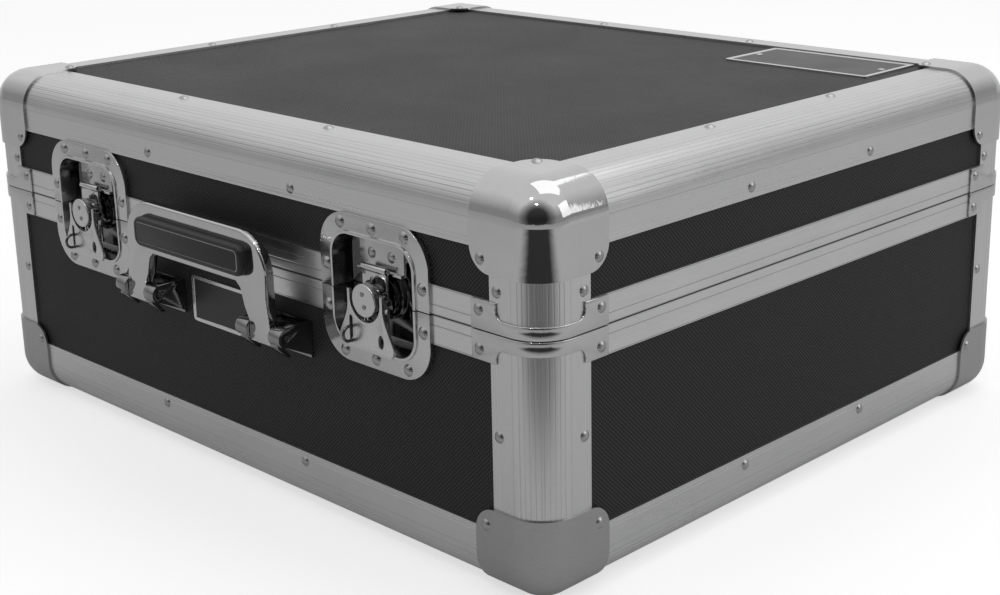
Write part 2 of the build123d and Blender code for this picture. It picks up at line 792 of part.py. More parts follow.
base_rivets += on_walls(corner_rivet_edge, corner_rivet_edge - 2.5, corner_skin)
base_rivets += on_walls(brace_rivet_edge, base_top - brace_rivet_rise + 0.5, brace_skin)
base_rivets += along_edges(flange_rivet_edge)
save(rivets(base_rivets), "base_rivets")
save(foam_block(leg_end + foam_clear, base_top, recess_floor, base_top + 1), "base_foam")

# Lid
lid_panel_bottom = lid_bottom + seam_web + 0.1
save(flat_panel(case_height - panel_inner), "lid_top_panel")
save(front_or_back_panel(-1, lid_panel_bottom, case_height - panel_start), "lid_front_panel")
save(front_or_back_panel(1, lid_panel_bottom, case_height - panel_start), "lid_back_panel")
save(side_panel(-1, lid_panel_bottom, case_height - panel_start), "lid_left_panel")
save(side_panel(1, lid_panel_bottom, case_height - panel_start), "lid_right_panel")
save(lengthwise_edge(-1, case_height, -1), "lid_front_edge")
save(lengthwise_edge(1, case_height, -1), "lid_back_edge")
save(crosswise_edge(-1, case_height, -1), "lid_left_edge")
save(crosswise_edge(1, case_height, -1), "lid_right_edge")
save(corner_posts(lid_bottom, case_height - bar_end), "lid_corner_posts")
save(seam_profiles(lid_bottom, 1), "lid_seam_profile")
save(four_corners(ball_corner().mirror(Plane.XY), case_height), "lid_ball_corners")
save(four_corners(seam_brace(lid_strap), lid_bottom), "lid_seam_braces")
lid_rivets = on_walls(post_rivet_edge, lid_post_rivet_z, 0)
lid_rivets += on_walls(corner_rivet_edge, case_height - corner_rivet_edge, corner_skin)
lid_rivets += on_walls(brace_rivet_edge, lid_bottom + brace_rivet_rise, brace_skin)
lid_rivets += along_edges(case_height - flange_rivet_edge) + on_top()
save(rivets(lid_rivets), "lid_rivets")
save(foam_block(lid_bottom, case_height - leg_end - foam_clear, lid_bottom - 1, recess_ceiling), "lid_foam")

# Latches
for side, word in ((-1, "left"), (1, "right")):
    middle = side * latch_x
    save(latch_half(middle, True), f"{word}_latch_upper_dish")
    save(latch_half(middle, False), f"{word}_latch_lower_dish")
    save(keeper(middle), f"{word}_latch_keeper")
    save(latch_housing(middle), f"{word}_latch_housing")
    save(latch_drum(middle), f"{word}_latch_drum")
    save(latch_disc(middle), f"{word}_latch_disc")
    save(latch_wing(middle), f"{word}_latch_wing")
    save(padlock_ring(middle), f"{word}_latch_ring")
    save(latch_hook(middle), f"{word}_latch_hook")

upper_points = latch_rivet_points(-latch_x, True) + latch_rivet_points(latch_x, True)
lower_points = latch_rivet_points(-latch_x, False) + latch_rivet_points(latch_x, False)
keeper_points = [((x + dx, front(-keeper_front), keeper_rivet_z), (0, -1, 0))
                 for x in (-latch_x, latch_x) for dx in (-keeper_rivet_x, keeper_rivet_x)]
save(group([rivets(upper_points, latch_rivet_radius, latch_rivet_height), rivets(keeper_points, 3.2, 1.3)]),
     "lid_latch_rivets")
save(rivets(lower_points, latch_rivet_radius, latch_rivet_height), "base_latch_rivets")

# Handle
save(handle_frame(), "handle_frame")
save(handle_grip(), "handle_grip")
save(handle_bracket(-1), "left_handle_bracket")
save(handle_bracket(1), "right_handle_bracket")
save(handle_pins(), "handle_pins")

# Hinges
save(hinge_leaves(True), "base_hinge_leaves")
save(hinge_leaves(False), "lid_hinge_leaves")
save(hinge_pins(), "hinge_pins")

# Blank plates
front_plane = Plane(origin=(0, front(-panel_outer), front_plate_z), x_dir=(1, 0, 0), z_dir=(0, -1, 0))
save(name_plate(front_plane, front_plate_width, front_plate_height), "front_blank_plate")
top_plane = Plane(origin=(top_plate_x, top_plate_y, case_height - panel_outer), z_dir=(0, 0, 1))
save(name_plate(top_plane, top_plate_width, top_plate_depth), "top_blank_plate")
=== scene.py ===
import bmesh
import bpy
import math
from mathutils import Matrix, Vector


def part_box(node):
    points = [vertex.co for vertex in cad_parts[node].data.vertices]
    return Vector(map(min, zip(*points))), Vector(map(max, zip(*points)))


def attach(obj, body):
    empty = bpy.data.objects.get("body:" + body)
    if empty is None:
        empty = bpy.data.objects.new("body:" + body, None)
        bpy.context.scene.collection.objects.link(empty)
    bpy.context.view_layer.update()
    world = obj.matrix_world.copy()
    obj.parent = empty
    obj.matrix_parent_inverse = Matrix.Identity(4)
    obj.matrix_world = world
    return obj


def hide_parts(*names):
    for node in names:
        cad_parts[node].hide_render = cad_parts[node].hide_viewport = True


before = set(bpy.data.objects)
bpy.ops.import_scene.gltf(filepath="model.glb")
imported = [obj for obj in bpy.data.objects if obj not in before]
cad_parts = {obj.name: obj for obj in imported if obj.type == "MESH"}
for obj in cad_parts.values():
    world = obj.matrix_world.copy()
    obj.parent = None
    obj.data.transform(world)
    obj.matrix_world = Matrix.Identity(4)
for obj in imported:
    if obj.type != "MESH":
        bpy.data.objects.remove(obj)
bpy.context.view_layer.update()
print("frame loaded:", len(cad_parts), "nodes")

mm = 0.001
forward, backward, upward = Vector((0, -1, 0)), Vector((0, 1, 0)), Vector((0, 0, 1))
case = {
    "halfWidth": 265, "halfDepth": 228, "height": 225, "seam": 146,
    "raise": 1.4, "back": 7.95,  # where the case stands in the frame
    "rounding": 21,
}


# working on meshes
def activate(piece):
    bpy.ops.object.select_all(action="DESELECT")
    piece.select_set(True)
    bpy.context.view_layer.objects.active = piece


def place(x, y, z):
    # case millimetres to scene metres
    return Vector((x, y + case["back"], z + case["raise"])) * mm


def boxBetween(name, low, high):
    bpy.ops.object.select_all(action="DESELECT")
    bpy.ops.mesh.primitive_cube_add(size=1, location=(low + high) / 2)
    piece = bpy.context.object
    piece.name = name
    piece.scale = high - low
    bpy.ops.object.transform_apply(location=True, rotation=True, scale=True)
    return piece


def addBlock(name, low, high):
    return boxBetween(name, place(*low), place(*high))


def editStart(piece):
    activate(piece)
    bpy.ops.object.mode_set(mode="EDIT")
    bpy.ops.mesh.select_all(action="DESELECT")


def editEnd():
    bpy.ops.object.mode_set(mode="OBJECT")


def pickFaces(piece, test):
    # selects the faces whose middle and normal pass the test
    bpy.ops.mesh.select_mode(type="FACE")
    bpy.ops.mesh.select_all(action="DESELECT")
    mesh = bmesh.from_edit_mesh(piece.data)
    for face in mesh.faces:
        if test(face.calc_center_median(), face.normal):
            face.select_set(True)
    bmesh.update_edit_mesh(piece.data)


def pickEdges(piece, test):
    # selects the edges whose middle and direction pass the test
    bpy.ops.mesh.select_mode(type="EDGE")
    bpy.ops.mesh.select_all(action="DESELECT")
    mesh = bmesh.from_edit_mesh(piece.data)
    for edge in mesh.edges:
        ends = [v.co for v in edge.verts]
        if test((ends[0] + ends[1]) / 2, (ends[1] - ends[0]).normalized()):
            edge.select_set(True)
    bmesh.update_edit_mesh(piece.data)


def paintPicked(piece, index):
    mesh = bmesh.from_edit_mesh(piece.data)
    for face in mesh.faces:
        if face.select:
            face.material_index = index
    bmesh.update_edit_mesh(piece.data)


def modify(piece, kind, **values):
    activate(piece)
    bpy.ops.object.modifier_add(type=kind)
    modifier = piece.modifiers[-1]
    for key, value in values.items():
        setattr(modifier, key, value)
    bpy.ops.object.modifier_apply(modifier=modifier.name)


def cutAway(piece, cutters):
    for cutter in cutters:
        modify(piece, "BOOLEAN", operation="DIFFERENCE", object=cutter, solver="EXACT")
        bpy.data.objects.remove(cutter, do_unlink=True)


def joinAll(name, parts):
    bpy.ops.object.select_all(action="DESELECT")
    for part in parts:
        part.select_set(True)
    bpy.context.view_layer.objects.active = parts[0]
    if len(parts) > 1:
        bpy.ops.object.join()
    piece = bpy.context.object
    piece.name = name
    return piece


def settle(piece, materials, body, angle=35):
    # last step of every piece: finish, shading and body
    for index, material in enumerate(materials):
        if index < len(piece.data.materials):
            piece.data.materials[index] = material
        else:
            piece.data.materials.append(material)
    activate(piece)
    bpy.ops.object.shade_smooth_by_angle(angle=math.radians(angle))
    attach(piece, body)


forming = {"weld": 2e-6, "flat": 0.6, "sharp": 40, "segments": 2}


def softCopy(node, body, material, width, name):
    # a copy of a solid with its sharp edges broken, as a stamped or cast part has them
    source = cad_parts[node]
    piece = source.copy()
    piece.data = source.data.copy()
    bpy.context.collection.objects.link(piece)
    piece.parent = None
    piece.name = name
    editStart(piece)
    bpy.ops.mesh.select_all(action="SELECT")
    bpy.ops.mesh.remove_doubles(threshold=forming["weld"])
    bpy.ops.mesh.dissolve_limited(angle_limit=math.radians(forming["flat"]))
    bpy.ops.mesh.normals_make_consistent(inside=False)
    editEnd()
    modify(
        piece, "BEVEL", width=width * mm, segments=forming["segments"], limit_method="ANGLE",
        angle_limit=math.radians(forming["sharp"]), use_clamp_overlap=True, harden_normals=False)
    settle(piece, [material], body)
    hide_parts(node)


# materials
class Value:
    # one number of a material, which adds and multiplies like a plain one
    def __init__(self, graph, socket):
        self.graph = graph
        self.socket = socket

    def work(self, operation, first, second=None, clamp=False):
        inputs = {0: first} if second is None else {0: first, 1: second}
        settings = {"operation": operation, "use_clamp": clamp}
        return self.graph.value(self.graph.node("ShaderNodeMath", settings, inputs))

    def __add__(self, other):
        return self.work("ADD", self, other)

    def __sub__(self, other):
        return self.work("SUBTRACT", self, other)

    def __rsub__(self, other):
        return self.work("SUBTRACT", other, self)

    def __mul__(self, other):
        return self.work("MULTIPLY", self, other)

    def __truediv__(self, other):
        return self.work("DIVIDE", self, other)

    def __pow__(self, other):
        return self.work("POWER", self, other)

    def __neg__(self):
        return self.work("MULTIPLY", self, -1.0)

    __radd__ = __add__
    __rmul__ = __mul__

    def size(self):
        return self.work("ABSOLUTE", self)

    def sine(self):
        return self.work("SINE", self)

    def least(self, other):
        return self.work("MINIMUM", self, other)

    def most(self, other):
        return self.work("MAXIMUM", self, other)

    def above(self, other):
        return self.work("GREATER_THAN", self, other)

    def below(self, other):
        return self.work("LESS_THAN", self, other)

    def turn(self, other):
        return self.work("ARCTAN2", self, other)

    def held(self):
        return self.work("ADD", self, 0.0, clamp=True)

    def line(self, middle, half):
        # 1 on the line, falling to 0 at its edges
        return (1.0 - (self - middle).size() / half).held()


class Graph:
    # the nodes of one material, or of the world
    def __init__(self, owner):
        owner.use_nodes = True
        self.tree = owner.node_tree
        self.tree.nodes.clear()

    def node(self, kind, settings=None, inputs=None):
        node = self.tree.nodes.new(kind)
        for key, value in (settings or {}).items():
            setattr(node, key, value)
        for key, value in (inputs or {}).items():
            self.plug(node.inputs[key], value)
        return node

    def plug(self, entry, value):
        if isinstance(value, Value):
            self.tree.links.new(value.socket, entry)
        elif isinstance(value, bpy.types.NodeSocket):
            self.tree.links.new(value, entry)
        else:
            entry.default_value = value

    def value(self, node, output=0):
        return Value(self, node.outputs[output])


class Finish(Graph):
    def __init__(self, name):
        self.material = bpy.data.materials.new(name)
        super().__init__(self.material)
        self.shader = self.node("ShaderNodeBsdfPrincipled")
        self.output = self.node("ShaderNodeOutputMaterial", inputs={"Surface": self.shader.outputs[0]})

    def where(self):
        return self.node("ShaderNodeTexCoord").outputs["Object"]

    def axes(self):
        # object coordinates in millimetres
        split = self.node("ShaderNodeSeparateXYZ", inputs={0: self.where()})
        return [self.value(split, i) / mm for i in range(3)]

    def noise(self, scale, stretch=(1, 1, 1), detail=3.0, rough=0.55, seed=0.0):
        # each seed moves the pattern to another place of the same noise
        moved = {"Vector": self.where(), "Scale": stretch, "Location": (seed, seed * 1.7, seed * 0.6)}
        fitted = self.node("ShaderNodeMapping", inputs=moved).outputs[0]
        look = {"Vector": fitted, "Scale": scale, "Detail": detail, "Roughness": rough}
        return self.value(self.node("ShaderNodeTexNoise", inputs=look))

    def cells(self, feature, scale):
        return self.value(self.node(
            "ShaderNodeTexVoronoi", {"feature": feature}, {"Vector": self.where(), "Scale": scale}))

    def blend(self, factor, first, second):
        return self.node("ShaderNodeMix", {"data_type": "RGBA"}, {0: factor, 6: first, 7: second}).outputs[2]

    def tinted(self, level, blue=1.0):
        # the colour of one changing level, with a touch more or less blue
        return self.node("ShaderNodeCombineColor", inputs={0: level, 1: level, 2: level * blue}).outputs[0]

    def bump(self, height, distance, strength):
        look = {"Strength": strength, "Distance": distance, "Height": height}
        self.plug(self.shader.inputs["Normal"], self.node("ShaderNodeBump", inputs=look).outputs[0])

    def surface(self, shaded):
        self.plug(self.output.inputs["Surface"], shaded.outputs[0])

    def set(self, **values):
        for key, value in values.items():
            self.plug(self.shader.inputs[key.replace("_", " ")], value)
        return self.material


def grey(value):
    return (value, value, value * 1.01, 1)


laminate = {
    "pitch": 1.75, "lean": 0.7, "weave": (0.58, 0.42), "sharp": 2.6, "facing": 0.6,
    "dark": 0.002, "light": 0.066, "rough": 0.52, "shine": 0.3, "bump": (0.0012, 0.7),
}


def makeLaminate():
    # black sheet with a fine embossed diamond grain, on whichever two axes lie in its face; its raised dots are
    # painted lighter, a painted highlight on the grain
    finish = Finish("blackLaminate")
    x, y, z = finish.axes()
    normal = finish.node("ShaderNodeNewGeometry").outputs["Normal"]
    facing = finish.node("ShaderNodeSeparateXYZ", inputs={0: normal})
    side = finish.value(facing, 0).size().above(laminate["facing"])
    top = finish.value(facing, 2).size().above(laminate["facing"])
    across = x * (1.0 - side) + y * side
    along = z * (1.0 - top) + y * top
    step = 2 * math.pi / laminate["pitch"] * laminate["lean"]
    rising, falling = laminate["weave"]
    lift = ((across + along) * step).sine() * rising + ((across - along) * step).sine() * falling
    dots = ((lift * 0.5 + 0.5).held() ** laminate["sharp"]).held()
    dust = finish.noise(9.0, detail=5.0, rough=0.62)
    scuff = (finish.noise(140.0, (1, 1, 6), 2.0, seed=3.0) - 0.62).held() * 3.0
    # the raised dots painted lighter are a painted highlight; the dust mottling and scuffs are the sheet's own
    # marks
    shade = (dots * (0.55 + dust * 0.7) + scuff * 0.12).held()
    finish.bump(dots * 0.3 + dust * 0.05, *laminate["bump"])
    return finish.set(
        Base_Color=finish.blend(shade, grey(laminate["dark"]), grey(laminate["light"])),
        Roughness=laminate["rough"] + (dust - 0.5) * 0.22 + scuff * 0.1,
        Metallic=0.0, Specular_IOR_Level=laminate["shine"])


extrusion = {
    # groove is the grey of the painted shade in the sunk lines, bright the grey of the painted highlight on the
    # two flange lines
    "tone": 0.68, "groove": 0.22, "bright": 0.8, "blue": 1.012, "rough": 0.3,
    "lineStep": 2.9, "lineReach": 14.5, "lineSharp": 9.0,  # lines round the rounding
    "step": (16.6, 0.5), "flangeLines": ((27.4, 0.42), (29.3, 0.36)),  # place and half width
    "bump": (0.0004, 0.5),
}


def edgeRun(finish, pair):
    # distance round the profile from the middle of its rounding, and the axis along it
    x, y, z = finish.axes()
    inset = {
        "w": case["halfWidth"] - x.size(),
        "d": case["halfDepth"] - (y - case["back"]).size(),
        "h": (z - case["raise"]).least(case["height"] + case["raise"] - z),
    }
    p, q = inset[pair[0]], inset[pair[1]]
    r = case["rounding"]
    angle = (r - q).most(0.001).turn((r - p).most(0.001))
    return (angle - math.pi / 4).size() * r + (p.most(q) - r).most(0.0)


def makeExtrusion(name, pair, stretch):
    # drawn aluminium: fine lines over the rounding, two lines by the inner edge, long grain; the sunk lines are
    # painted darker as shade and the two raised lines painted bright as highlights
    finish = Finish(name)
    run = edgeRun(finish, pair)
    grain = finish.noise(1.0, stretch, 4.0, 0.6)
    fine = finish.noise(1.0, tuple(s * 3.4 for s in stretch), 2.0, 0.6, seed=2.0)
    cloud = finish.noise(14.0, detail=4.0, seed=5.0)
    wave = ((run * (2 * math.pi / extrusion["lineStep"])).sine() * 0.5 + 0.5) ** extrusion["lineSharp"]
    lines = wave * run.below(extrusion["lineReach"]) * (grain * 2.6 - 0.75).held()
    # the two flange lines are raised, and painted bright as a painted highlight
    first, second = extrusion["flangeLines"]
    bright = run.line(*first) + run.line(*second)
    # the sunk lines and the step are painted darker: painted shade in the grooves
    reliefAndShade = (lines + run.line(*extrusion["step"]) * 0.5).held()
    tone = extrusion["tone"] * (0.9 + grain * 0.12 + (fine - 0.5) * 0.12 + (cloud - 0.5) * 0.12)
    colour = finish.blend(reliefAndShade * 0.5, finish.tinted(tone, extrusion["blue"]), grey(extrusion["groove"]))
    finish.bump(grain * 0.16 + fine * 0.12 - reliefAndShade * 0.6 + bright * 0.5, *extrusion["bump"])
    return finish.set(
        Base_Color=finish.blend(bright.held() * 0.6, colour, grey(extrusion["bright"])), Metallic=1.0,
        Roughness=extrusion["rough"] + (grain - 0.5) * 0.16 + (cloud - 0.5) * 0.16)


seamStrip = {
    # dark is the grey of the painted shade in the gap, step and rim lines, bright the grey of the painted
    # highlight lines
    "tone": 0.71, "dark": 0.12, "bright": 0.86, "blue": 1.012, "rough": 0.31,
    "gap": 1.1, "near": 5.6, "far": 10.9, "rim": 15.9,  # heights from the seam
    "bump": (0.0004, 0.5),
}


def makeSeamStrip():
    # the two mating strips, each with a fine step line painted as a dark shaded line beside a bright highlight
    # line; the gap between the strips and the rim line are painted shade
    finish = Finish("seamAluminium")
    z = finish.axes()[2]
    rise = (z - (case["seam"] + case["raise"])).size()
    grain = finish.noise(1.0, (9, 9, 900), 4.0, 0.6)
    cloud = finish.noise(16.0, detail=4.0, seed=7.0)
    near, far = seamStrip["near"], seamStrip["far"]
    gap, rim = rise.line(0.0, seamStrip["gap"]), rise.line(seamStrip["rim"], 0.5)
    # painted shade in the gap between the strips, on the step and at the rim; painted highlights beside the
    # step and on the far line
    dark = (rise.line(near, 0.34) * 0.75 + gap + rim * 0.6).held()
    light = rise.line(near + 0.6, 0.3) + rise.line(far, 0.3) * 0.5
    tone = seamStrip["tone"] * (0.88 + grain * 0.18 + (cloud - 0.5) * 0.14)
    colour = finish.blend(dark * 0.8, finish.tinted(tone, seamStrip["blue"]), grey(seamStrip["dark"]))
    finish.bump(grain * 0.2 - dark * 0.6 + light * 0.4, *seamStrip["bump"])
    return finish.set(
        Base_Color=finish.blend(light.held() * 0.6, colour, grey(seamStrip["bright"])), Metallic=1.0,
        Roughness=seamStrip["rough"] + (grain - 0.5) * 0.15 + (cloud - 0.5) * 0.15)


metal = {"blue": 1.01, "dishStart": 1.0, "dishDepth": 7.0, "bump": (0.0002, 0.35)}


def makeMetal(name, tone, rough, smear, stretch=(1, 1, 1), grainScale=260.0, pit=0.0, recess=1.0):
    # plated or brushed steel with handling marks and hairline scratches; a recess below 1 paints shade into a
    # dish, darker towards its floor
    finish = Finish(name)
    cloud = finish.noise(22.0, detail=5.0, rough=0.6, seed=1.0)
    grain = finish.noise(grainScale, stretch, 3.0, 0.6, seed=4.0)
    hair = (finish.noise(60.0, (1, 14, 3), 2.0, 0.5, seed=9.0) - 0.64).held() * 3.0
    spots = (finish.noise(900.0, detail=2.0, seed=6.0) - 0.66).held() * 3.0
    level = tone * (1.0 + (grain - 0.5) * smear + (cloud - 0.5) * 0.22) - hair * 0.06 - spots * pit
    if recess < 1.0:
        # painted shade: the dish's walls and floor are painted darker than its rim, more so deeper in the dish
        front = case["back"] - case["halfDepth"] + metal["dishStart"]
        dishShade = ((finish.axes()[1] - front) / metal["dishDepth"]).held()
        level = level * (1.0 - dishShade * (1.0 - recess))
    finish.bump(grain * 0.4 + hair * 0.3 + cloud * 0.1 - spots * pit, *metal["bump"])
    return finish.set(
        Base_Color=finish.tinted(level, metal["blue"]), Metallic=1.0,
        Roughness=rough + (cloud - 0.5) * smear * 0.5 + hair * 0.12 + (grain - 0.5) * smear * 0.3)


foamLook = {"cells": 620.0, "dark": 0.008, "light": 0.045, "rough": 0.9, "bump": (0.0012, 0.8)}


def makeFoam():
    # open-cell foam: pores, soft mottling, a little dust
    finish = Finish("foamLiner")
    pore = (finish.cells("F1", foamLook["cells"]) * 1.5).held()
    cloud = finish.noise(30.0, detail=4.0)
    mottle = (pore * 0.6 + (cloud - 0.4) * 0.6).held()
    finish.bump(pore * 0.5 + cloud * 0.25, *foamLook["bump"])
    return finish.set(
        Base_Color=finish.blend(mottle, grey(foamLook["dark"]), grey(foamLook["light"])),
        Roughness=foamLook["rough"] + (cloud - 0.5) * 0.12, Metallic=0.0)


gripLook = {"cells": 900.0, "dark": 0.006, "light": 0.03, "rough": 0.42, "bump": (0.0006, 0.6)}


def makeGripSkin():
    # moulded pad with a fine pebble grain
    finish = Finish("gripSkin")
    pebble = finish.cells("SMOOTH_F1", gripLook["cells"])
    cloud = finish.noise(40.0, detail=4.0)
    mottle = (pebble * 0.5 + (cloud - 0.35) * 0.5).held()
    finish.bump(pebble * 0.35 + cloud * 0.1, *gripLook["bump"])
    return finish.set(
        Base_Color=finish.blend(mottle, grey(gripLook["dark"]), grey(gripLook["light"])),
        Roughness=gripLook["rough"] + (cloud - 0.5) * 0.2, Metallic=0.0)


plateLook = {"tone": 0.035, "blue": 1.02, "rough": 0.4, "metal": 0.35, "bump": (0.0002, 0.4)}


def makePlateFace():
    # bare dark face of the blank plates, satin with a slight cross grain
    finish = Finish("plateFace")
    grain = finish.noise(1.0, (40, 900, 900), 3.0, 0.6, seed=2.0)
    cloud = finish.noise(26.0, detail=4.0)
    level = plateLook["tone"] + (grain - 0.5) * 0.02 + (cloud - 0.5) * 0.03
    finish.bump(grain * 0.3 + cloud * 0.2, *plateLook["bump"])
    return finish.set(
        Base_Color=finish.tinted(level, plateLook["blue"]), Metallic=plateLook["metal"],
        Roughness=plateLook["rough"] + (cloud - 0.5) * 0.2)


finishes = {
    "laminate": makeLaminate(),
    "lengthwise": makeExtrusion("edgeAlongX", "dh", (9, 900, 900)),
    "crosswise": makeExtrusion("edgeAlongY", "wh", (900, 9, 900)),
    "upright": makeExtrusion("edgeAlongZ", "wd", (900, 900, 9)),
    "seam": makeSeamStrip(),
    "mirror": makeMetal("mirrorChrome", 0.6, 0.06, 0.05),
    "plated": makeMetal("platedSteel", 0.6, 0.2, 0.16, (1, 1, 5), 300.0, 0.06),
    "handle": makeMetal("handleChrome", 0.58, 0.1, 0.1, (1, 1, 5), 300.0, 0.04),
    # a darker copy of the handle chrome, painted shade on the handle brackets; the latch disc rivets use it too
    "bracket": makeMetal("bracketChromeShaded", 0.3, 0.12, 0.12, (1, 1, 5), 300.0, 0.04),
    # the dish chrome carries painted shade on its walls and floor
    "dish": makeMetal("dishChromeShaded", 0.62, 0.17, 0.14, (1, 1, 5), 300.0, 0.05, recess=0.45),
    "brace": makeMetal("braceChrome", 0.58, 0.1, 0.08),
    "steel": makeMetal("dullSteel", 0.42, 0.36, 0.2, (1, 1, 4), 240.0, 0.12),
    "dark": makeMetal("darkChrome", 0.16, 0.09, 0.1),
    "wing": makeMetal("satinZinc", 0.64, 0.27, 0.16, (1, 1, 6), 280.0, 0.08),
    "rivet": makeMetal("rivetSteel", 0.42, 0.24, 0.18, pit=0.1),
    "foam": makeFoam(),
    "grip": makeGripSkin(),
    # bright metal for the ring round the grip pad: a painted highlight
    "outline": makeMetal("gripHighlightRing", 0.4, 0.3, 0.1),
    "plateRim": makeMetal("plateRim", 0.7, 0.28, 0.12),
    "plateFace": makePlateFace(),
}
print("finishes made:", len(finishes))


# solids that keep their shape and get a finish
def finishFor(node):
    if node.endswith("_panel"):
        return "laminate"
    if node.endswith(("front_edge", "back_edge")):
        return "lengthwise"
    if node.endswith(("left_edge", "right_edge")):
        return "crosswise"
    if node.endswith("corner_posts"):
        return "upright"
    if node.endswith("seam_profile"):
        return "seam"
    if node == "lid_ball_corners":
        return "mirror"
    if node == "base_ball_corners":
        return "steel"
    if node.endswith(("rivets", "pins")):
        return "rivet"
    if node.endswith("ring"):
        return "dark"
    return "plated"


for node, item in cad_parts.items():
    for slot in item.material_slots:
        slot.material = finishes[finishFor(node)]
print("solids finished")

# stamped, cast and bent parts get broken edges
broken = [
    ("base_seam_braces", "base", "bright_steel", "brace", 0.35),
    ("lid_seam_braces", "lid", "bright_steel", "brace", 0.35),
    ("base_hinge_leaves", "base", "satin_steel", "plated", 0.4),
    ("lid_hinge_leaves", "lid", "satin_steel", "plated", 0.4),
    ("handle_frame", "handle", "bright_steel", "handle", 1.1),
    ("left_handle_bracket", "base", "bright_steel", "bracket", 0.3),
    ("right_handle_bracket", "base", "bright_steel", "bracket", 0.3),
]
for side in ("left", "right"):
    broken += [
        (f"{side}_latch_upper_dish", "lid", "bright_steel", "dish", 0.35),
        (f"{side}_latch_lower_dish", "base", "bright_steel", "dish", 0.35),
        (f"{side}_latch_keeper", "lid", "bright_steel", "plated", 0.3),
        (f"{side}_latch_housing", "base", "bright_steel", "dark", 0.3),
        (f"{side}_latch_drum", f"{side}_drum", "bright_steel", "dark", 0.4),
        (f"{side}_latch_disc", f"{side}_drum", "bright_steel", "wing", 0.3),
        (f"{side}_latch_wing", f"{side}_wing", "bright_steel", "wing", 0.35),
        (f"{side}_latch_hook", f"{side}_hook", "bright_steel", "mirror", 0.3),
    ]
for node, body, recordSlot, finishName, width in broken:
    softCopy(node, body, finishes[finishName], width, node + "_formed")
print("formed parts:", len(broken))

# foam liners: a block with a turntable recess and pockets behind the latches
foam = {
    "edge": 10.6, "corner": 8, "soft": 2.4,
    "recess": (230, 180), "recessFloor": 40.3, "recessCeiling": 203.7,
    "latchX": 141.5, "latchZ": 147.5, "pocket": (35.2, 34.7), "pocketDepth": 15.6, "past": 5,
    "base": (10.9, 145.4), "lid": (146.6, 214.1), "open": (190, 120),  # heights, and past the seam
}


def makeLiner(name, node, body, low, high, recessLow, recessHigh):
    w, d = case["halfWidth"] - foam["edge"], case["halfDepth"] - foam["edge"]
    liner = addBlock(name, (-w, -d, low), (w, d, high))
    across, along = foam["recess"]
    hollow = addBlock(name + "Hollow", (-across, -along, recessLow), (across, along, recessHigh))
    editStart(hollow)
    pickEdges(hollow, lambda middle, way: abs(way.z) > 0.9)
    bpy.ops.mesh.bevel(offset=foam["corner"] * mm, segments=6, affect="EDGES")
    editEnd()
    pockets = []
    half, rise = foam["pocket"]
    for middle in (-foam["latchX"], foam["latchX"]):
        pockets.append(addBlock(
            name + "Pocket", (middle - half, -d - foam["past"], foam["latchZ"] - rise),
            (middle + half, -case["halfDepth"] + foam["pocketDepth"], foam["latchZ"] + rise)))
    cutAway(liner, [hollow] + pockets)
    modify(
        liner, "BEVEL", width=foam["soft"] * mm, segments=3, limit_method="ANGLE",
        angle_limit=math.radians(50), use_clamp_overlap=True)
    settle(liner, [finishes["foam"]], body, 40)
    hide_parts(node)


baseOpen, lidOpen = foam["open"]
makeLiner("baseFoamTray", "base_foam", "base", *foam["base"], foam["recessFloor"], baseOpen)
makeLiner("lidFoamTray", "lid_foam", "lid", *foam["lid"], lidOpen, foam["recessCeiling"])
print("foam liners made")

# handle grip: moulded pad with a ring let into its face, finished bright as a painted highlight round the pad's
# edge
grip = {
    "half": 53.85, "low": 144.35, "high": 162.85, "front": -253.5, "back": -239.8,
    "corner": 5.8, "round": 2.2,
    "border": 0.5, "slope": 0.25, "line": 0.4, "sink": 0.25, "face": 0.2,  # outline let into the front
}


def makeGrip():
    half = grip["half"]
    pad = addBlock("handleGripPad", (-half, grip["front"], grip["low"]), (half, grip["back"], grip["high"]))
    editStart(pad)
    pickEdges(pad, lambda middle, way: abs(way.y) > 0.9)
    bpy.ops.mesh.bevel(offset=grip["corner"] * mm, segments=8, affect="EDGES")
    face = place(0, grip["front"], 0).y
    pickEdges(pad, lambda middle, way: abs(middle.y - face) < 1e-5 and abs(way.y) < 0.1)
    bpy.ops.mesh.bevel(offset=grip["round"] * mm, segments=5, affect="EDGES")
    pickFaces(pad, lambda middle, normal: normal.y < -0.99 and abs(middle.y - face) < 1e-5)
    bpy.ops.mesh.inset(thickness=grip["border"] * mm)
    bpy.ops.mesh.inset(thickness=grip["slope"] * mm)
    bpy.ops.transform.translate(value=(0, grip["sink"] * mm, 0))
    bpy.ops.mesh.inset(thickness=grip["line"] * mm)
    sunk = face + grip["sink"] * mm
    pickFaces(pad, lambda middle, normal: normal.y < -0.99 and abs(middle.y - sunk) < 1e-6)
    # the ring gets the bright finish, a painted highlight round the pad
    paintPicked(pad, 1)
    # only the inner field, whose middle is the pad's own
    heart = place(0, 0, (grip["low"] + grip["high"]) / 2).z
    pickFaces(pad, lambda middle, normal: normal.y < -0.99 and math.hypot(middle.x, middle.z - heart) < mm)
    paintPicked(pad, 0)
    bpy.ops.transform.translate(value=(0, -grip["face"] * mm, 0))
    editEnd()
    settle(pad, [finishes["grip"], finishes["outline"]], "handle", 40)
    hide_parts("handle_grip")


makeGrip()
print("grip made")

# blank plates: a raised bright rim round a bare dark face
plates = {"sink": 0.35, "corner": 2.5, "slope": 0.2, "frontRim": 2.1, "topRim": 3.2}


